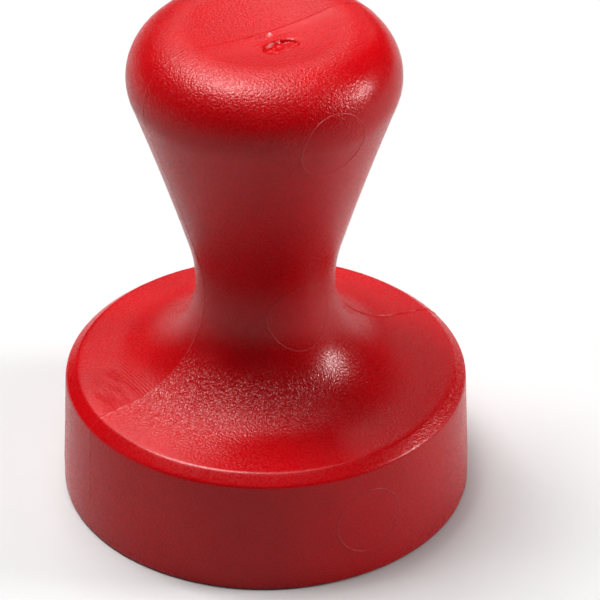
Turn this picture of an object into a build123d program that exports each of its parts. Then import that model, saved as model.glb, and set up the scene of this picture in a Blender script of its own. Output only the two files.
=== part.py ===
from build123d import *
from math import atan, degrees, radians, sin, sqrt, tan
import os

# Espresso tamper with a mushroom handle: one moulded body, closed from below by a snap-in
# tamping plate with a rim seal, over a steel bar that gives the tool its weight.
# Millimetres. +Z is the axis, from the tamping face up to the head. The origin is the centre
# of the tamping face. The body's two mould halves met in the plane y = 0.

# Base, the part that goes into the filter basket
BASE_R = 29.0            # for a 58 mm basket
LAND_BOTTOM = 0.5        # top of the rounded bottom edge
LAND_TOP = 3.5           # top of the straight band that guides the base in the basket
SIDE_TOP_R = 28.5        # the side tapers above the band, so that the base doesn't bind
SIDE_TOP = 17.3
CREST_R = 26.8           # inner edge of the bevel round the top of the base
SIDE_ROUND = 0.8         # edge between the side and the bevel
CREST_ROUND = 1.1        # edge between the bevel and the shoulder
SHOULDER_SLOPE = 8.5     # degrees, falling from the neck's fillet to the crest

# Handle
NECK_R = 9.85
NECK_Z = 33.2            # height of the narrowest point
NECK_FILLET = 13.9       # concave sweep from the neck to the shoulder
FLARE_R = 24.4           # concave sweep from the neck to the handle's long cone
FLARE_TURN = 16.4        # degrees
CONE_R = 450.0           # the cone is very slightly concave
CONE_TURN = 3.2          # degrees
HEAD_R = 7.6             # round of the head, in section
HEAD_DIP_TURN = 9.5      # degrees that the round goes on past its top, into the hollow of the head

# What the mould's gate leaves in the hollow of the head
GATE_Y = -4.5            # an oval pit, torn out beside the middle
GATE_L = 4.6
GATE_W = 2.2
GATE_DEPTH = 0.5         # at its steep side, which is towards the middle
GATE_TURN = 8.0          # degrees about Z
NUB_Y = -1.0             # trimmed stub of the sprue
NUB_R = 0.45
NUB_H = 0.2

# Inside of the base
RECESS_R = 26.4          # the plate's seat
PLATE_T = 3.0
CAVITY_R = 25.2
CAVITY_TOP = 15.4
CAVITY_DRAFT = 0.25      # the cavity is narrower by this much at its top
CAVITY_ROUND = 1.2
BOSS_R = 9.2             # tube round the bar, below the neck
BOSS_BOTTOM = 6.0
BOSS_DRAFT = 0.3
RIB_COUNT = 8
RIB_T = 2.0
RIB_BOTTOM = PLATE_T     # the ribs stand on the plate and carry the tamping load
RIB_ROOT = 1.0           # how far each rib is let into the walls it joins
LEAD_IN = 0.8

# Steel bar in the handle
BAR_R = 6.0
BAR_BOTTOM = 8.0
BAR_L = 48.0
BAR_CHAMFER = 1.2
BORE_GAP = 0.08          # radial room round the bar

# Tamping plate
PLATE_GAP = 0.1          # radial room in the seat
PLATE_EDGE = 0.3
SKIRT_R = 24.8           # ring of snap fingers
SKIRT_T = 1.6
SKIRT_TOP = 8.6
SLOT_W = 3.2             # the fingers part round each rib
SNAP_Z = 6.9
SNAP_H = 0.55            # how far the bead stands out of the fingers
SNAP_GAP = 0.1
SNAP_ROOT = 0.2          # how far the bead is let into the fingers
POST_R = 4.8             # holds the bar up against the end of its bore
POST_DRAFT = 0.25
POST_ROUND = 1.5

# Rim seal, cut square on a lathe from rubber tube
SEAL_W = 1.4
SEAL_H = 1.5
SEAL_Z = 1.55
SEAL_EDGE = 0.3
SEAL_GAP = 0.02          # room in the seat
GROOVE_GAP = 0.1         # room above and below


def arc_on(previous, radius, turn):
    """An arc that carries on smoothly from the previous edge. A positive turn is to the left."""
    return JernArc(previous @ 1, previous % 1, radius, turn)


def handle_outline():
    """The handle in section, from the shoulder up to the centre of the head. X is the radius."""
    neck = (NECK_R, NECK_Z)
    fillet = JernArc(neck, (0, -1), NECK_FILLET, 90 - SHOULDER_SLOPE)
    flare = JernArc(neck, (0, 1), FLARE_R, -FLARE_TURN)
    cone = arc_on(flare, CONE_R, -CONE_TURN)
    lean = FLARE_TURN + CONE_TURN
    head = arc_on(cone, HEAD_R, 90 + lean + HEAD_DIP_TURN)
    dip = arc_on(head, (head @ 1).X / sin(radians(HEAD_DIP_TURN)), -HEAD_DIP_TURN)
    return [fillet, flare, cone, head, dip]


def outer_form():
    """The body's outside as a solid of revolution."""
    handle = handle_outline()
    shoulder = handle[0] @ 1
    tip = handle[-1] @ 1
    crest = shoulder.Y - (CREST_R - shoulder.X) * tan(radians(SHOULDER_SLOPE))
    corners = [
        shoulder,
        (CREST_R, crest),
        (SIDE_TOP_R, SIDE_TOP),
        (BASE_R, LAND_TOP),
        (BASE_R, 0),
        (0, 0),
        (0, tip.Y),
    ]
    outline = make_face(Curve() + handle + Polyline(*corners, tip))
    outline = round_corner(outline, CREST_R, crest, CREST_ROUND)
    outline = round_corner(outline, SIDE_TOP_R, SIDE_TOP, SIDE_ROUND)
    outline = round_corner(outline, BASE_R, 0, LAND_BOTTOM)
    return spin(outline)


def round_corner(face, x, y, radius):
    """Rounds the corner of a flat outline that is nearest to a point."""
    corner = face.vertices().sort_by_distance((x, y, 0))[0]
    return fillet(corner, radius)


def spin(section):
    """Turns a section drawn as radius and height about the Z axis."""
    return revolve(Plane.XZ * section, Axis.Z, 360)


def ring(inner, outer, bottom, top):
    """A plain ring, square in section."""
    corners = [(inner, bottom), (outer, bottom), (outer, top), (inner, top)]
    return spin(make_face(Polyline(*corners, close=True)))


def ribs(width, inner, outer, bottom, top):
    """Radial plates, evenly spaced, for the ribs and for the slots that clear them."""
    plate = Pos((inner + outer) / 2, 0, (bottom + top) / 2) * Box(outer - inner, width, top - bottom)
    step = 360 / RIB_COUNT
    return [Rot(0, 0, step * (i + 0.5)) * plate for i in range(RIB_COUNT)]


def bore_tool():
    """The hole for the bar, with a rounded end and a lead-in."""
    radius = BAR_R + BORE_GAP
    end = BAR_BOTTOM + BAR_L
    section = make_face(
        Polyline(
            (0, BOSS_BOTTOM),
            (radius + LEAD_IN, BOSS_BOTTOM),
            (radius, BOSS_BOTTOM + LEAD_IN),
            (radius, end),
            (0, end),
            close=True,
        )
    )
    return spin(round_corner(section, radius, end, LEAD_IN))


def cavity_tool():
    """The space round the boss under the shoulder, less the ribs that cross it."""
    section = make_face(
        Polyline(
            (BOSS_R, RIB_BOTTOM),
            (CAVITY_R, RIB_BOTTOM),
            (CAVITY_R - CAVITY_DRAFT, CAVITY_TOP),
            (BOSS_R + BOSS_DRAFT, CAVITY_TOP),
            (BOSS_R, BOSS_BOTTOM),
            close=True,
        )
    )
    section = round_corner(section, CAVITY_R - CAVITY_DRAFT, CAVITY_TOP, CAVITY_ROUND)
    section = round_corner(section, BOSS_R + BOSS_DRAFT, CAVITY_TOP, CAVITY_ROUND)
    space = spin(section)
    for rib in ribs(RIB_T, BOSS_R - RIB_ROOT, CAVITY_R + RIB_ROOT, RIB_BOTTOM, CAVITY_TOP + RIB_ROOT):
        space -= rib
    return space


def snap_ring(stand_out):
    """The bead on the fingers, or the groove that takes it: a low triangle in section."""
    reach = SNAP_H + stand_out
    bead = Polyline(
        (SKIRT_R - SNAP_ROOT, SNAP_Z - reach - SNAP_ROOT),
        (SKIRT_R + reach, SNAP_Z),
        (SKIRT_R - SNAP_ROOT, SNAP_Z + reach + SNAP_ROOT),
        close=True,
    )
    return spin(make_face(bead))


def gate_scar(dip):
    """Oval pit with a floor that rises to nothing towards -Y, where the gate tore out of the hollow."""
    level = (dip @ 1).Y + dip.radius - sqrt(dip.radius**2 - GATE_Y**2)
    slope = degrees(atan(GATE_DEPTH / GATE_W))
    oval = extrude(SlotOverall(GATE_L, GATE_W), GATE_W)
    return Pos(0, GATE_Y, level - GATE_DEPTH / 2) * Rot(0, 0, GATE_TURN) * Rot(-slope, 0, 0) * oval


def tamper_body():
    body = outer_form()
    dip = handle_outline()[-1]
    body += Pos(0, NUB_Y, (dip @ 1).Y) * Cone(NUB_R, NUB_R / 2, 2 * NUB_H)
    body -= gate_scar(dip)
    body -= Pos(0, 0, PLATE_T / 2) * Cylinder(RECESS_R, PLATE_T)
    body -= Pos(0, 0, (PLATE_T + BOSS_BOTTOM) / 2) * Cylinder(BOSS_R, BOSS_BOTTOM - PLATE_T)
    body -= cavity_tool()
    body -= snap_ring(SNAP_GAP)
    body -= bore_tool()
    return body


def tamping_plate():
    plate = Pos(0, 0, PLATE_T / 2) * Cylinder(RECESS_R - PLATE_GAP, PLATE_T)
    plate = chamfer(plate.edges().group_by(Axis.Z)[0], PLATE_EDGE)
    groove_half = SEAL_H / 2 + GROOVE_GAP
    plate -= ring(RECESS_R - SEAL_GAP - SEAL_W, RECESS_R, SEAL_Z - groove_half, SEAL_Z + groove_half)
    skirt = ring(SKIRT_R - SKIRT_T, SKIRT_R, PLATE_T, SKIRT_TOP) + snap_ring(0)
    for slot in ribs(SLOT_W, SKIRT_R - 2 * SKIRT_T, SKIRT_R + SKIRT_T, PLATE_T, SKIRT_TOP):
        skirt -= slot
    post_section = make_face(
        Polyline(
            (0, PLATE_T),
            (POST_R + POST_ROUND, PLATE_T),
            (POST_R, PLATE_T + POST_ROUND),
            (POST_R - POST_DRAFT, BAR_BOTTOM),
            (0, BAR_BOTTOM),
            close=True,
        )
    )
    return plate + skirt + spin(post_section)


def plate_seal():
    section = chamfer(Rectangle(SEAL_W, SEAL_H).vertices(), SEAL_EDGE)
    return spin(Pos(RECESS_R - SEAL_GAP - SEAL_W / 2, SEAL_Z) * section)


def ballast_bar():
    bar = Pos(0, 0, BAR_BOTTOM + BAR_L / 2) * Cylinder(BAR_R, BAR_L)
    return chamfer(bar.edges().filter_by(GeomType.CIRCLE), BAR_CHAMFER)


os.makedirs("parts", exist_ok=True)
for make in (tamper_body, tamping_plate, plate_seal, ballast_bar):
    export_step(make(), f"parts/{make.__name__}.step")
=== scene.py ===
from math import asin, atan2, cos, degrees, exp, hypot, pi, radians, sin, sqrt, tan

import bmesh
import bpy
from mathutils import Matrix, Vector, kdtree, noise


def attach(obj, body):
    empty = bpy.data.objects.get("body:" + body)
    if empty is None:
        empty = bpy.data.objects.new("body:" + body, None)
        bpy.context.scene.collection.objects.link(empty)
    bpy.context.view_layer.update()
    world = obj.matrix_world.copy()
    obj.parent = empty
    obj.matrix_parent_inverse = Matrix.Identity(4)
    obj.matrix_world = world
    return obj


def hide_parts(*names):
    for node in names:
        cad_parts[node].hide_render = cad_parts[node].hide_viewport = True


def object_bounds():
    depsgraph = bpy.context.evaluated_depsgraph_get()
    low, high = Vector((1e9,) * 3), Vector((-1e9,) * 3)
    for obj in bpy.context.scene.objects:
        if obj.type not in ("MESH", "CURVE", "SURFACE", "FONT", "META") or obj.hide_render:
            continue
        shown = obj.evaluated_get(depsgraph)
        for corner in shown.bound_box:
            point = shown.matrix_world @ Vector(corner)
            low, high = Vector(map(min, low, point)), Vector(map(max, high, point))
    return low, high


# Espresso tamper. The CAD's moulded body is replaced by a dense mesh that carries what the mould left
# on its skin. The plate, the seal and the bar stay as the CAD has them, with materials of their own.

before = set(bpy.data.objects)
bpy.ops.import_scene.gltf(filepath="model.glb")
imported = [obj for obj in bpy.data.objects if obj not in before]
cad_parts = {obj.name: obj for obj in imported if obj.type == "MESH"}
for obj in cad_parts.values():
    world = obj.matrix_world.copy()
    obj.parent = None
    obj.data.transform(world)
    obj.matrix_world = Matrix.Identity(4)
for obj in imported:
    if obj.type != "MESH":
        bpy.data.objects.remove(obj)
CAD_LOW, CAD_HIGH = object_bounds()
MM = 0.001

# The tamper's outline, in millimetres and degrees, as the CAD part has it
BASE_R = 29.0
LAND_BOTTOM = 0.5
LAND_TOP = 3.5
SIDE_TOP_R = 28.5
SIDE_TOP = 17.3
CREST_R = 26.8
SIDE_ROUND = 0.8
CREST_ROUND = 1.1
SHOULDER_SLOPE = 8.5
NECK_R = 9.85
NECK_Z = 33.2
NECK_FILLET = 13.9
FLARE_R = 24.4
FLARE_TURN = 16.4
CONE_R = 450.0
CONE_TURN = 3.2
HEAD_R = 7.6
HEAD_DIP_TURN = 9.5
RECESS_R = 26.4
UNDERSIDE_JOIN_R = 26.6    # the lathed outside starts here, just outside the plate's seat
SHOULDER_TOP = 28.0        # about where the shoulder's fillet becomes the neck
SOLID_FROM = 60.0          # above this height the body has nothing hollow in it
HEAD_TOP_FROM = 70.0       # the top of the head is above this height, and within this radius
HEAD_TOP_R = 15.0

# How finely the outside is cut
ROW = 0.44
DIP_ROW = 0.12             # in the hollow of the head, where the gate is
COLUMN_TURN = 1.25         # degrees
SEAM_COLUMNS = (0.04, 0.09, 0.16, 0.28, 0.46)   # distances from each parting line
SEAM_R = 14.0              # nearer to the axis than this, those distances shrink with the radius
WELD = 0.002               # the CAD's vertices that are nearer than this are one
SHARP_EDGE = 55            # degrees

# What the mould leaves on the surface
PARTING_H = 0.08
PARTING_HALF = 0.14
PARTING_BOTTOM = 4.2
PARTING_FADE = 1.6
HALF_STEP = 0.02           # the two mould halves don't quite match
PIN_R = 4.95               # the circle that each ejector pin leaves
PIN_LINE_R = 0.1           # its bead, in section
PIN_LINE_H = 0.07          # how far the bead stands out
# how pale the bead is painted, as a painted highlight
PIN_HIGHLIGHT_PAINT = 0.08
PIN_SLOPE_STEP = 0.2       # the slope under the bead is taken this far up and down
PIN_AROUND = 144
PIN_SECTION = 10
PIN_PLACES = {"base": (0.0, 9.1), "neck": (0.2, 32.3), "head": (0.2, 64.8)}   # X and height, on the -Y side
GATE_Y = -4.5
GATE_HALF_L = 2.6          # with the torn edge round it
GATE_HALF_W = 1.6
GATE_DEPTH = 0.5
GATE_TURN = 8.0
GATE_POWER = 2.6           # its outline is between an ellipse, at 2, and a rectangle
GATE_LUMP_H = 0.13
GATE_LIP_H = 0.12
FLOW_MARK_DEPTH = 0.03
NUB_X = 0.3                # the stub of the sprue
NUB_Y = -1.0
NUB_R = 0.3
NUB_H = 0.4
SEAM_DOT_Z = 62.5              # a painted highlight dot on the -X parting line


# ---------------------------------------------------------------- outline

def arc(start, heading, radius, turn, spacing):
    """Points of an arc after its start, and the heading at its end. A positive turn is to the left."""
    side = 1 if turn > 0 else -1
    to_centre = radians(heading + 90 * side)
    centre = (start[0] + radius * cos(to_centre), start[1] + radius * sin(to_centre))
    count = max(2, round(radius * radians(abs(turn)) / spacing))
    first = heading - 90 * side
    points = []
    for i in range(1, count + 1):
        a = radians(first + turn * i / count)
        points.append((centre[0] + radius * cos(a), centre[1] + radius * sin(a)))
    return points, heading + turn


def straight(start, end, spacing):
    """Points along a straight run after its start."""
    count = max(1, round(hypot(end[0] - start[0], end[1] - start[1]) / spacing))
    steps = [i / count for i in range(1, count + 1)]
    return [(start[0] + (end[0] - start[0]) * t, start[1] + (end[1] - start[1]) * t) for t in steps]


def rounded(corners, radii, spacing):
    """Straight runs between corners, with each inner corner rounded."""
    points = [corners[0]]
    for i, radius in enumerate(radii, 1):
        before, corner, after = (Vector(c) for c in corners[i - 1:i + 2])
        into = (corner - before).normalized()
        out = (after - corner).normalized()
        turn = degrees(atan2(into.x * out.y - into.y * out.x, into.dot(out)))
        begin = tuple(corner - into * radius * tan(radians(abs(turn)) / 2))
        points += straight(points[-1], begin, spacing)
        if radius:
            heading = degrees(atan2(into.y, into.x))
            points += arc(begin, heading, radius, turn, min(spacing, radius / 6))[0]
    return points + straight(points[-1], corners[-1], spacing)


def outline():
    """Radius and height up the outside, from the underside of the base to the centre of the head."""
    neck = (NECK_R, NECK_Z)
    sweep = arc(neck, -90, NECK_FILLET, 90 - SHOULDER_SLOPE, ROW)[0]
    shoulder = sweep[-1]
    crest = shoulder[1] - (CREST_R - shoulder[0]) * tan(radians(SHOULDER_SLOPE))
    corners = [
        (UNDERSIDE_JOIN_R, 0),
        (BASE_R, 0),
        (BASE_R, LAND_TOP),
        (SIDE_TOP_R, SIDE_TOP),
        (CREST_R, crest),
        shoulder,
    ]
    points = rounded(corners, [LAND_BOTTOM, 0, SIDE_ROUND, CREST_ROUND], ROW)
    points += sweep[-2::-1] + [neck]
    heading = 90
    for radius, turn in ((FLARE_R, -FLARE_TURN), (CONE_R, -CONE_TURN)):
        run, heading = arc(points[-1], heading, radius, turn, ROW)
        points += run
    run, heading = arc(points[-1], heading, HEAD_R, 180 + HEAD_DIP_TURN - heading, ROW)
    points += run
    dip_r = points[-1][0] / sin(radians(HEAD_DIP_TURN))
    return points + arc(points[-1], heading, dip_r, -HEAD_DIP_TURN, DIP_ROW)[0]


def normals(points):
    """Outward normals of an outline that runs up the outside."""
    out = []
    for i in range(len(points)):
        a, b = points[max(i - 1, 0)], points[min(i + 1, len(points) - 1)]
        length = hypot(b[0] - a[0], b[1] - a[1])
        out.append(((b[1] - a[1]) / length, (a[0] - b[0]) / length))
    return out


TOP = CAD_HIGH[2] / MM
OUTLINE = outline()
OUTLINE_NORMALS = normals(OUTLINE)


def radius_at(height):
    """Radius of the outside at a height above the base's bottom edge and below the head's widest part."""
    for (r0, z0), (r1, z1) in zip(OUTLINE, OUTLINE[1:]):
        if z0 <= height < z1:
            return r0 + (r1 - r0) * (height - z0) / (z1 - z0)
    raise ValueError(height)


# ---------------------------------------------------------------- the moulded body

def smooth(low, high, value):
    """A soft step from 0 at low to 1 at high. It runs the other way where low is the larger."""
    t = max(0.0, min(1.0, (value - low) / (high - low)))
    return t * t * (3 - 2 * t)


def bump(value, centre, width):
    """A bell curve, 1 at its centre."""
    return exp(-((value - centre) / width) ** 2)


def rough(x, y, z, scale):
    """Smooth noise from -1 to 1, with features about that many millimetres across."""
    return noise.noise(Vector((x / scale, y / scale, z / scale)))


def gate_relief(x, y):
    """Height of the torn gate, its lip and the sprue's stub, in the hollow of the head.

    The third number that rough is given here only picks a layer of the noise.
    """
    turn = radians(GATE_TURN)
    u = x * cos(turn) + (y - GATE_Y) * sin(turn)
    v = -x * sin(turn) + (y - GATE_Y) * cos(turn)
    u += 0.12 * rough(x, y, 3.0, 0.7)
    v += 0.10 * rough(x, y, 9.0, 0.6)
    inside = 1 - (abs(u) / GATE_HALF_L) ** GATE_POWER - (abs(v) / GATE_HALF_W) ** GATE_POWER
    depth = GATE_DEPTH * smooth(-GATE_HALF_W, GATE_HALF_W, v) + 0.05
    lumps = GATE_LUMP_H * rough(x, y, 1.0, 0.55) + 0.05 * rough(x, y, 5.0, 0.25)
    height = -smooth(0.0, 0.22, inside) * (depth + lumps)
    lip = bump(v, GATE_HALF_W + 0.4, 0.35) * smooth(GATE_HALF_L + 1.2, GATE_HALF_L - 0.6, abs(u))
    height += GATE_LIP_H * lip
    height -= 0.1 * bump(inside, 0.0, 0.16)
    height += NUB_H * bump(x, NUB_X, NUB_R) * bump(y, NUB_Y, NUB_R)
    height += 0.06 * bump(y, NUB_Y - 0.12, 0.35) * smooth(-3.5, -0.5, x) * smooth(NUB_X + 0.4, NUB_X, x)
    return height


def sink_relief(x, y):
    """The hollow's flow marks: a shallow smooth channel each side of the gate."""
    right = smooth(0.5, 2.5, x) * smooth(13.0, 8.0, x) * bump(y, -1.5, 1.3)
    left = smooth(-1.5, -3.5, x) * smooth(-13.0, -9.0, x) * bump(y, -2.6, 1.2)
    return -FLOW_MARK_DEPTH * (right + left)


def parting_start(z):
    """The parting line fades in above the base's guiding band."""
    return smooth(PARTING_BOTTOM, PARTING_BOTTOM + PARTING_FADE, z)


def relief(x, y, z, facing_up):
    """How far the surface stands out from the plain outline, in millimetres."""
    along = rough(x * 0.6, 0.0, z * 0.6, 1.0)
    ridge = max(0.0, 1 - (y / PARTING_HALF) ** 2) * PARTING_H * (0.75 + 0.5 * along)
    # The line is higher on the +X shoulder, and lower on the cone and the sides of the head
    ridge *= 1 + 1.2 * smooth(0.0, 5.0, x) * smooth(17.5, 20.0, z) * smooth(36.0, 30.0, z)
    ridge *= 1 - 0.5 * smooth(40.0, 55.0, z) * smooth(0.95, 0.7, facing_up)
    ridge *= parting_start(z)
    step = HALF_STEP * (0.5 - smooth(-0.05, 0.05, y)) * parting_start(z)
    height = ridge + step
    if facing_up > 0.9 and z > SOLID_FROM:
        height += gate_relief(x, y) + sink_relief(x, y)
    return height


def column_angles():
    """The places of the columns round the body, crowded together beside the two parting lines.

    Each is an angle in degrees and a distance in millimetres from there.
    """
    angles = []
    steps = round(180 / COLUMN_TURN)
    for base in (0.0, 180.0):
        angles += [(base, offset) for offset in (0.0,) + SEAM_COLUMNS]
        angles += [(base + COLUMN_TURN * i, 0.0) for i in range(2, steps - 1)]
        angles += [(base + 180.0, -offset) for offset in reversed(SEAM_COLUMNS)]
    return angles


def lathe_outside(bm):
    """The dense outside of the body. Returns its first ring of vertices, on the underside."""
    angles = column_angles()
    rings = []
    for (r, z), (out, up) in zip(OUTLINE[:-1], OUTLINE_NORMALS):
        ring = []
        for base, offset in angles:
            a = radians(base) + asin(offset / max(r, SEAM_R))
            x, y = r * cos(a), r * sin(a)
            lift = relief(x, y, z, up)
            r_lifted = min(r + out * lift, BASE_R)
            z_lifted = min(z + up * lift, TOP)
            ring.append(bm.verts.new((r_lifted * cos(a) * MM, r_lifted * sin(a) * MM, z_lifted * MM)))
        rings.append(ring)
    centre_z = OUTLINE[-1][1] + relief(0.0, 0.0, OUTLINE[-1][1], 1.0)
    centre = bm.verts.new((0, 0, centre_z * MM))
    count = len(angles)
    for low, high in zip(rings, rings[1:]):
        for j in range(count):
            k = (j + 1) % count
            bm.faces.new((low[j], low[k], high[k], high[j]))
    for j in range(count):
        bm.faces.new((rings[-1][j], rings[-1][(j + 1) % count], centre))
    return rings[0]


def keep_inside(bm):
    """Leaves only the seat, cavity, ribs and bore of the CAD body in the mesh."""
    tree = kdtree.KDTree(len(OUTLINE))
    for i, (r, z) in enumerate(OUTLINE):
        tree.insert((r, z, 0), i)
    tree.balance()
    seat_edge = Vector((RECESS_R, 0, 0))
    outside = set()
    for vert in bm.verts:
        place = Vector((hypot(vert.co.x, vert.co.y), vert.co.z, 0)) / MM
        on_outline = tree.find(place)[2] < 0.75 * ROW
        on_seat_edge = (place - seat_edge).length < 0.05
        if on_outline or on_seat_edge or place.y > SOLID_FROM:
            outside.add(vert)
    faces = [face for face in bm.faces if all(vert in outside for vert in face.verts)]
    bmesh.ops.delete(bm, geom=faces, context="FACES")


def body_mesh(name):
    """The moulded body: the CAD's inside, with a lathed outside joined to it at the edge of the seat."""
    bm = bmesh.new()
    bm.from_mesh(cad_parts["tamper_body"].data)
    bmesh.ops.remove_doubles(bm, verts=bm.verts, dist=WELD * MM)
    keep_inside(bm)
    seat_edges = [edge for edge in bm.edges if edge.is_boundary]
    first_ring = lathe_outside(bm)
    ring_edges = [bm.edges.get((a, b)) for a, b in zip(first_ring, first_ring[1:] + first_ring[:1])]
    bmesh.ops.bridge_loops(bm, edges=seat_edges + ring_edges)
    bmesh.ops.recalc_face_normals(bm, faces=bm.faces)
    mesh = bpy.data.meshes.new(name)
    bm.to_mesh(mesh)
    bm.free()
    mesh.shade_smooth()
    mesh.set_sharp_from_angle(angle=radians(SHARP_EDGE))
    paint_zones(mesh)
    return link(name, mesh)


def link(name, mesh):
    """Puts a mesh in the scene as an object."""
    piece = bpy.data.objects.new(name, mesh)
    bpy.context.scene.collection.objects.link(piece)
    return piece


def grain_at(x, y, z):
    """How strong the eroded grain is: it is worn or smeared away where the plastic flowed or sank."""
    r = hypot(x, y)
    grain = 0.8 + 0.2 * rough(x, y, z, 6.0)
    neck_and_cone = smooth(25.0, 31.0, z) * smooth(69.0, 64.0, z)
    right_of_head = smooth(50.0, 60.0, z) * smooth(2.0, 10.0, x) * smooth(73.9, 73.2, z)
    side_wall = smooth(17.4, 16.8, z)
    grain *= (1 - 0.8 * neck_and_cone) * (1 - 0.9 * right_of_head) * (1 - 0.85 * side_wall)
    if z > HEAD_TOP_FROM and r < HEAD_TOP_R:
        wedge_front = -0.6 - 0.22 * x
        wedge = smooth(0.3, 2.5, x) * smooth(13.0, 9.0, x) * smooth(0.1, -0.2, y)
        wedge *= smooth(wedge_front - 1.2, wedge_front, y)
        band = smooth(-1.5, -4.0, x) * smooth(-13.0, -8.0, x) * bump(y, -2.6, 1.4)
        scar = bump(x, 0.0, 3.2) * bump(y, GATE_Y + 0.6, 2.2)
        grain *= (1 - 0.85 * wedge) * (1 - 0.7 * band) * (1 - 0.6 * scar)
    if z < SHOULDER_TOP:
        shoulder = smooth(SHOULDER_TOP, 23.0, z) * smooth(26.6, 26.0, r)
        right_bevel = smooth(4.0, 12.0, x) * smooth(26.4, 27.0, r)
        grain *= 0.12 + shoulder * (0.5 + 1.3 * eroded_patch(x, y, z)) + 0.9 * right_bevel
    return grain


def eroded_patch(x, y, z):
    """The part of the shoulder in front of the -X parting line where the grain is deep and sharp, and where
    the painted glints are densest.
    """
    r = hypot(x, y)
    outer = 18.0 + 5.0 * smooth(-10.0, -19.0, x)
    round_it = smooth(11.3, 14.0, r) * smooth(outer + 3.0, outer - 3.0, r) * smooth(SHOULDER_TOP, 24.0, z)
    return round_it * smooth(0.1, -0.1, y) * smooth(3.0, -6.0, x)


def painted_glints_at(x, y, z):
    """How strongly glints are painted on the grain: painted highlights dotted over the eroded patch, the
    front of the head's rim and the right bevel.
    """
    r = hypot(x, y)
    head = smooth(70.0, 73.0, z) * smooth(10.0, 13.5, r) * smooth(8.0, -4.0, x) * smooth(4.0, -6.0, y)
    right_bevel = smooth(8.0, 14.0, x) * smooth(26.6, 27.2, r) * smooth(17.3, 17.6, z)
    return eroded_patch(x, y, z) + 0.45 * head + 0.6 * right_bevel


def drawn_at(x, y, z):
    """How strong the fine drag lines are, on the shoulder behind the -X parting line."""
    shoulder = smooth(25.9, 25.4, hypot(x, y)) * smooth(25.0, 22.0, z)
    patchy = 0.5 + 0.5 * smooth(-0.3, 0.4, rough(x * 2, y * 0.4, z, 1.6))
    return patchy * shoulder * smooth(0.0, 0.4, y) * smooth(14.0, 7.0, y) * smooth(-17.0, -20.0, x)


def painted_highlight_at(x, y, z):
    """Where highlights are painted pale: on the sprue's stub, as a dot on the -X parting line, and in patches
    along the parting line.
    """
    r = hypot(x, y)
    stub = bump(x, NUB_X, NUB_R) * bump(y, NUB_Y, NUB_R) * smooth(60.0, 70.0, z)
    line = smooth(0.14, 0.06, abs(y)) * smooth(-0.2, 0.4, rough(x, y, z, 0.7))
    shoulder = smooth(24.0, 20.0, z) * smooth(26.5, 26.0, r)
    side = smooth(17.0, 16.0, z) * parting_start(z)
    seam_dot = bump(z, SEAM_DOT_Z, 0.3) * smooth(-1.0, -3.0, x) * bump(y, 0.0, 0.35)
    return stub + line * (0.3 * shoulder + 0.13 * side) + 0.6 * seam_dot


def paint_zone(mesh, zone, values):
    """Stores one number for each vertex, for a material to read by name."""
    layer = mesh.attributes.new(zone, "FLOAT", "POINT")
    layer.data.foreach_set("value", values)


def paint_zones(mesh):
    """Stores where the moulded plastic is grained, whitened and drawn."""
    places = [vert.co / MM for vert in mesh.vertices]
    zones = {"grain": grain_at, "glints": painted_glints_at, "drawn": drawn_at, "pale": painted_highlight_at}
    for zone, strength in zones.items():
        paint_zone(mesh, zone, [strength(*place) for place in places])


def pin_outline(name, cx, cz):
    """The raised circle that an ejector pin leaves, as a fine bead that follows the surface."""
    verts, faces = [], []
    for i in range(PIN_AROUND):
        t = 2 * pi * i / PIN_AROUND
        ray = Vector((cos(t), 0, sin(t)))
        x, z = cx + PIN_R * cos(t), cz + PIN_R * sin(t)
        r = radius_at(z)
        lean = (radius_at(z + PIN_SLOPE_STEP) - radius_at(z - PIN_SLOPE_STEP)) / (2 * PIN_SLOPE_STEP)
        surface = Vector((x, -sqrt(r * r - x * x), z))
        out = Vector((x / r, surface.y / r, -lean)).normalized()
        across = (ray - out * ray.dot(out)).normalized()
        proud = min(PIN_LINE_H * (0.8 + 0.5 * rough(x, 0, z, 2.5)), BASE_R - r)
        centre = surface + out * (proud - PIN_LINE_R)
        this_ring = i * PIN_SECTION
        next_ring = (i + 1) % PIN_AROUND * PIN_SECTION
        for j in range(PIN_SECTION):
            s = 2 * pi * j / PIN_SECTION
            k = (j + 1) % PIN_SECTION
            verts.append((centre + (out * sin(s) + across * cos(s)) * PIN_LINE_R) * MM)
            faces.append((this_ring + j, next_ring + j, next_ring + k, this_ring + k))
    mesh = bpy.data.meshes.new(name)
    mesh.from_pydata(verts, [], faces)
    mesh.shade_smooth()
    # The bead is painted slightly pale, as a painted highlight along it
    paint_zone(mesh, "pale", [PIN_HIGHLIGHT_PAINT] * len(verts))
    return link(name, mesh)


# ---------------------------------------------------------------- materials

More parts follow.
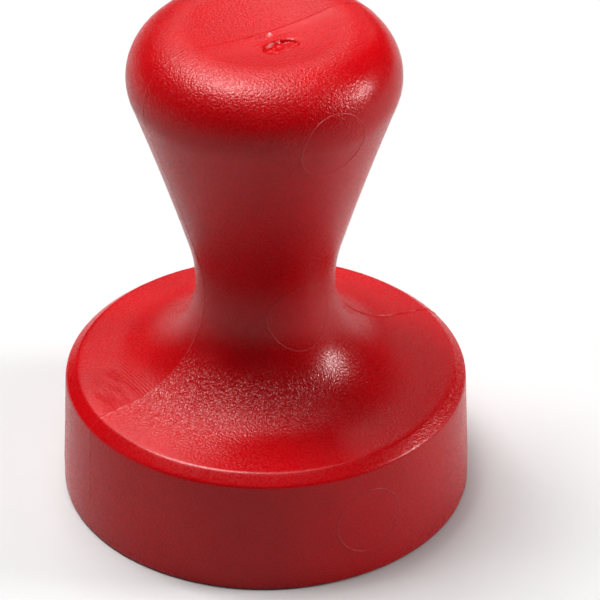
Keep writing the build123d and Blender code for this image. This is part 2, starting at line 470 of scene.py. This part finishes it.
class Graph:
    """A material's nodes, made and linked in one call each.

    A socket is given by its name, with _ for a space, or by its number, such as i0.
    """

    def __init__(self, name):
        self.material = bpy.data.materials.new(name)
        self.material.use_nodes = True
        self.tree = self.material.node_tree
        self.shader = self.tree.nodes["Principled BSDF"]
        self.place = self.add("ShaderNodeTexCoord").outputs["Object"]

    def add(self, kind, settings=None, **sockets):
        node = self.tree.nodes.new(kind)
        for key, value in (settings or {}).items():
            setattr(node, key, value)
        for key, value in sockets.items():
            self.plug(node, key.replace("_", " "), value)
        return node

    def plug(self, node, socket, value):
        numbered = socket[0] == "i" and socket[1:].isdigit()
        target = node.inputs[int(socket[1:]) if numbered else socket]
        if isinstance(value, bpy.types.NodeSocket):
            self.tree.links.new(value, target)
        else:
            target.default_value = value

    def math(self, operation, *values):
        sockets = {f"i{i}": value for i, value in enumerate(values)}
        return self.add("ShaderNodeMath", {"operation": operation}, **sockets).outputs[0]

    def noise(self, scale, detail=2.0, roughness=0.5, vector=None):
        return self.add("ShaderNodeTexNoise", Vector=vector or self.place, Scale=scale, Detail=detail,
                        Roughness=roughness).outputs["Fac"]

    def ramp(self, value, low, high, out_low=0.0, out_high=1.0):
        """A soft step from one value to another as the input goes from low to high."""
        return self.add("ShaderNodeMapRange", {"interpolation_type": "SMOOTHSTEP"}, i0=value, i1=low, i2=high,
                        i3=out_low, i4=out_high).outputs[0]

    def zone(self, name):
        """What paint_zone stored. It reads 0 on a mesh that has no such zone."""
        return self.add("ShaderNodeAttribute", {"attribute_name": name}).outputs["Fac"]

    def bump(self, height, strength, distance, normal=None):
        """A normal for a height of 0 to 1 over a distance in millimetres."""
        node = self.add("ShaderNodeBump", Height=height, Strength=strength, Distance=distance * MM)
        if normal:
            self.plug(node, "Normal", normal)
        return node.outputs["Normal"]

    def blend(self, factor, a, b):
        node = self.add("ShaderNodeMix", {"data_type": "RGBA"})
        self.plug(node, "i0", factor)
        self.plug(node, "i6", a)
        self.plug(node, "i7", b)
        return node.outputs[2]

    def finish(self, **sockets):
        for key, value in sockets.items():
            self.plug(self.shader, key.replace("_", " "), value)
        return self.material


RED = (0.46, 0.001, 0.005, 1)
DEEP_RED = (0.38, 0.0008, 0.004, 1)
PALE = (0.85, 0.48, 0.48, 1)    # the pale of the specks, and of the painted glints and painted highlights

# The moulded plastic. A scale is about how many features lie in a metre. Heights are in millimetres.
GRAIN_SCALE = 2900
GRAIN_H = 0.15
FINE_SCALE = 4200               # the finest grain, and with the clouds the variation of the red
CLOUD_SCALE = 90
# painted glints: how fine their dots are, and how pale they are painted
GLINT_SCALE = 3900
GLINT_PALENESS = 0.38
GLOSS_SCALE = 3000
DRAG_LINE_SCALE = 760
DRAG_LINE_H = 0.08
SPECK_SCALE = 250               # one speck in each cell, and most of them are under the surface
SPECK_R = 0.13
SPECK_WHITE = 0.35


def moulded_plastic():
    """Satin red plastic with a leathery eroded grain, drag lines, a few pale specks, and painted glints and
    painted highlights in pale.
    """
    g = Graph("moulded_red_plastic")
    grain = g.noise(GRAIN_SCALE, 1.5, 0.55)
    fine = g.noise(FINE_SCALE, 2, 0.6)
    cloud = g.ramp(g.noise(CLOUD_SCALE, 3), 0.35, 0.65)
    fine_shade = g.math("MULTIPLY", g.ramp(fine, 0.3, 0.7), 0.6)
    shade = g.math("ADD", g.math("MULTIPLY", cloud, 0.4), fine_shade)
    colour = g.blend(shade, RED, DEEP_RED)
    speck = g.add("ShaderNodeTexVoronoi", Vector=g.place, Scale=SPECK_SCALE).outputs["Distance"]
    speck_edge = SPECK_R * MM * SPECK_SCALE
    colour = g.blend(g.ramp(speck, speck_edge, 0.6 * speck_edge, 0.0, SPECK_WHITE), colour, PALE)
    # painted glints: pale dots painted on the grain where highlights fall
    glints = g.ramp(g.noise(GLINT_SCALE, 1), 0.56, 0.68)
    painted_glints = g.math("MULTIPLY", glints, g.math("MULTIPLY", g.zone("glints"), GLINT_PALENESS))
    colour = g.blend(painted_glints, colour, PALE)
    # painted highlights: pale on the sprue's stub, a seam dot, patches of the parting line and the ejector
    # beads
    colour = g.blend(g.zone("pale"), colour, PALE)
    height = g.math("ADD", grain, g.math("MULTIPLY", fine, 0.15))
    normal = g.bump(height, g.zone("grain"), GRAIN_H)
    lines = g.add("ShaderNodeTexWave", {"wave_type": "BANDS", "bands_direction": "X"}, Vector=g.place,
                  Scale=DRAG_LINE_SCALE, Distortion=0.25, Detail=1.0, Detail_Scale=0.4).outputs["Fac"]
    normal = g.bump(lines, g.zone("drawn"), DRAG_LINE_H, normal)
    roughness = g.ramp(g.noise(GLOSS_SCALE, 2), 0.35, 0.65, 0.22, 0.36)
    return g.finish(Base_Color=colour, Roughness=roughness, Normal=normal, IOR=1.46, Specular_IOR_Level=0.4)


def turned_plastic():
    """The plate: the same plastic, faced with fine turning marks and lightly scuffed."""
    g = Graph("turned_red_plastic")
    colour = g.blend(g.ramp(g.noise(160, 3), 0.2, 0.8), RED, DEEP_RED)
    rings = g.add("ShaderNodeTexWave", {"wave_type": "RINGS", "rings_direction": "Z"}, Vector=g.place,
                  Scale=900, Distortion=0.4, Detail=1.0, Detail_Scale=4.0).outputs["Fac"]
    normal = g.bump(rings, 0.25, 0.02)
    normal = g.bump(g.noise(2600, 2), 0.25, 0.02, normal)
    roughness = g.ramp(g.noise(260, 4, 0.7), 0.35, 0.7, 0.3, 0.46)
    return g.finish(Base_Color=colour, Roughness=roughness, Normal=normal, IOR=1.5)


def seal_rubber():
    """Matt black rubber, finely grained."""
    g = Graph("seal_rubber")
    colour = g.blend(g.noise(800, 3), (0.012, 0.012, 0.013, 1), (0.03, 0.03, 0.032, 1))
    normal = g.bump(g.noise(2400, 3, 0.6), 0.4, 0.02)
    return g.finish(Base_Color=colour, Roughness=g.ramp(g.noise(600), 0.3, 0.7, 0.6, 0.8), Normal=normal)


def drawn_steel():
    """Bright bar, with the fine lines of drawing along its length."""
    g = Graph("drawn_steel")
    stretched = g.add("ShaderNodeMapping", Vector=g.place, Scale=(1, 1, 0.02)).outputs[0]
    streaks = g.noise(4000, 3, 0.6, stretched)
    colour = g.blend(streaks, (0.50, 0.50, 0.51, 1), (0.62, 0.62, 0.63, 1))
    return g.finish(Base_Color=colour, Metallic=1.0, Roughness=g.ramp(streaks, 0.3, 0.7, 0.22, 0.38),
                    Normal=g.bump(streaks, 0.3, 0.01))


# ---------------------------------------------------------------- the studio

# The camera, in degrees and millimetres
VIEW_AZIMUTH = -30.6
VIEW_ELEVATION = 33.903
VIEW_DISTANCE = 705.476
AIM_RIGHT = 4.892          # it aims this far to the right of the axis, as it sees it
AIM_HEIGHT = 29.365
LENS = 300
SENSOR_W = 36

# The room, in metres
FLOOR_HALF = 3.0
WALL_R = 1.25
WALL_H = 3.0
WALL_SIDES = 96
LIGHT_DISTANCE = 1.2
LIGHT_AIM = Vector((0, 0, 0.03))
AMBIENT = 0.02
GAMMA = 0.85


def from_camera(azimuth, elevation):
    """A direction as the camera sees it: azimuth 0 is away from it, 90 is to its right."""
    a = radians(azimuth - VIEW_AZIMUTH)
    e = radians(elevation)
    return Vector((sin(a) * cos(e), cos(a) * cos(e), sin(e)))


def look(obj, direction):
    """Turns a lamp or a camera to face along a direction."""
    obj.rotation_mode = "QUATERNION"
    obj.rotation_quaternion = direction.to_track_quat("-Z", "Y")


def soft_box(name, azimuth, elevation, width, height, power, in_gloss=True):
    """A soft box aimed at the object. Without in_gloss it doesn't show in reflections."""
    light = bpy.data.lights.new(name, "AREA")
    light.shape = "RECTANGLE"
    light.size = width
    light.size_y = height
    light.energy = power
    lamp = bpy.data.objects.new(name, light)
    direction = from_camera(azimuth, elevation)
    lamp.location = LIGHT_AIM + direction * LIGHT_DISTANCE
    lamp.visible_glossy = in_gloss
    look(lamp, -direction)
    bpy.context.scene.collection.objects.link(lamp)


def camera():
    """A long lens from above the front left of the tamper."""
    a, e = radians(VIEW_AZIMUTH), radians(VIEW_ELEVATION)
    back = Vector((sin(a) * cos(e), -cos(a) * cos(e), sin(e)))
    target = Vector((cos(a), sin(a), 0)) * AIM_RIGHT + Vector((0, 0, AIM_HEIGHT))
    data = bpy.data.cameras.new("camera")
    data.lens = LENS
    data.sensor_width = SENSOR_W
    data.clip_start = 0.05
    viewer = bpy.data.objects.new("camera", data)
    viewer.location = (target + back * VIEW_DISTANCE) * MM
    look(viewer, -back)
    bpy.context.scene.collection.objects.link(viewer)
    bpy.context.scene.camera = viewer


def grey(level):
    return (level, level, level, 1)


def pale_floor():
    """A wide plain floor, very slightly uneven in shade."""
    mesh = bpy.data.meshes.new("floor")
    s = FLOOR_HALF
    mesh.from_pydata([(-s, -s, 0), (s, -s, 0), (s, s, 0), (-s, s, 0)], [], [(0, 1, 2, 3)])
    g = Graph("pale_floor")
    colour = g.blend(g.noise(40, 3), grey(0.50), grey(0.53))
    mesh.materials.append(g.finish(Base_Color=colour, Roughness=0.6))
    link("floor", mesh)


def pale_wall():
    """A round pale wall, for low views. It gives the object no light and no reflection."""
    n = WALL_SIDES
    angles = [2 * pi * i / n for i in range(n)]
    verts = [(WALL_R * cos(a), WALL_R * sin(a), z) for z in (-WALL_H, WALL_H) for a in angles]
    faces = [(i, (i + 1) % n, n + (i + 1) % n, n + i) for i in range(n)]
    mesh = bpy.data.meshes.new("backdrop")
    mesh.from_pydata(verts, [], faces)
    g = Graph("pale_backdrop")
    shade = g.blend(g.noise(2, 2), grey(0.50), grey(0.54))
    glow = g.finish(Base_Color=grey(0), Roughness=1.0, Emission_Color=shade, Emission_Strength=1.0)
    mesh.materials.append(glow)
    wall = link("backdrop", mesh)
    for ray in ("diffuse", "glossy", "transmission", "shadow"):
        setattr(wall, f"visible_{ray}", False)


def studio():
    """The camera, the room and the lights. A light's numbers are azimuth, elevation, width, height, power."""
    camera()
    pale_floor()
    pale_wall()
    world = bpy.data.worlds.new("world")
    bpy.context.scene.world = world
    world.use_nodes = True
    surround = world.node_tree.nodes["Background"]
    surround.inputs["Color"].default_value = grey(1)
    surround.inputs["Strength"].default_value = AMBIENT
    bpy.context.scene.view_settings.view_transform = "Standard"
    bpy.context.scene.view_settings.gamma = GAMMA
    soft_box("overhead_box", -73, 72, 0.43, 0.54, 14.5)
    soft_box("right_box", 91, 24, 0.32, 0.32, 10)
    soft_box("rear_box", -24, 55, 0.9, 0.8, 8)
    soft_box("low_rear_box", 10, 24, 0.8, 0.4, 1)
    soft_box("zenith_box", 110, 85, 0.55, 0.55, 4)
    soft_box("front_fill", 180, 40, 0.6, 0.4, 1.1, in_gloss=False)
    soft_box("left_fill", -100, 20, 0.4, 0.4, 1.2, in_gloss=False)


def body_piece(piece, material):
    """Gives a piece its material and its body."""
    piece.data.materials.append(material)
    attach(piece, "root")


studio()
red = moulded_plastic()
body = body_mesh("moulded_body")
body_piece(body, red)
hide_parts("tamper_body")
for place, (across, height) in PIN_PLACES.items():
    body_piece(pin_outline(f"ejector_mark_{place}", across, height), red)
inner_parts = {"tamping_plate": turned_plastic, "plate_seal": seal_rubber, "ballast_bar": drawn_steel}
for node, finish in inner_parts.items():
    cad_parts[node].data.materials[0] = finish()
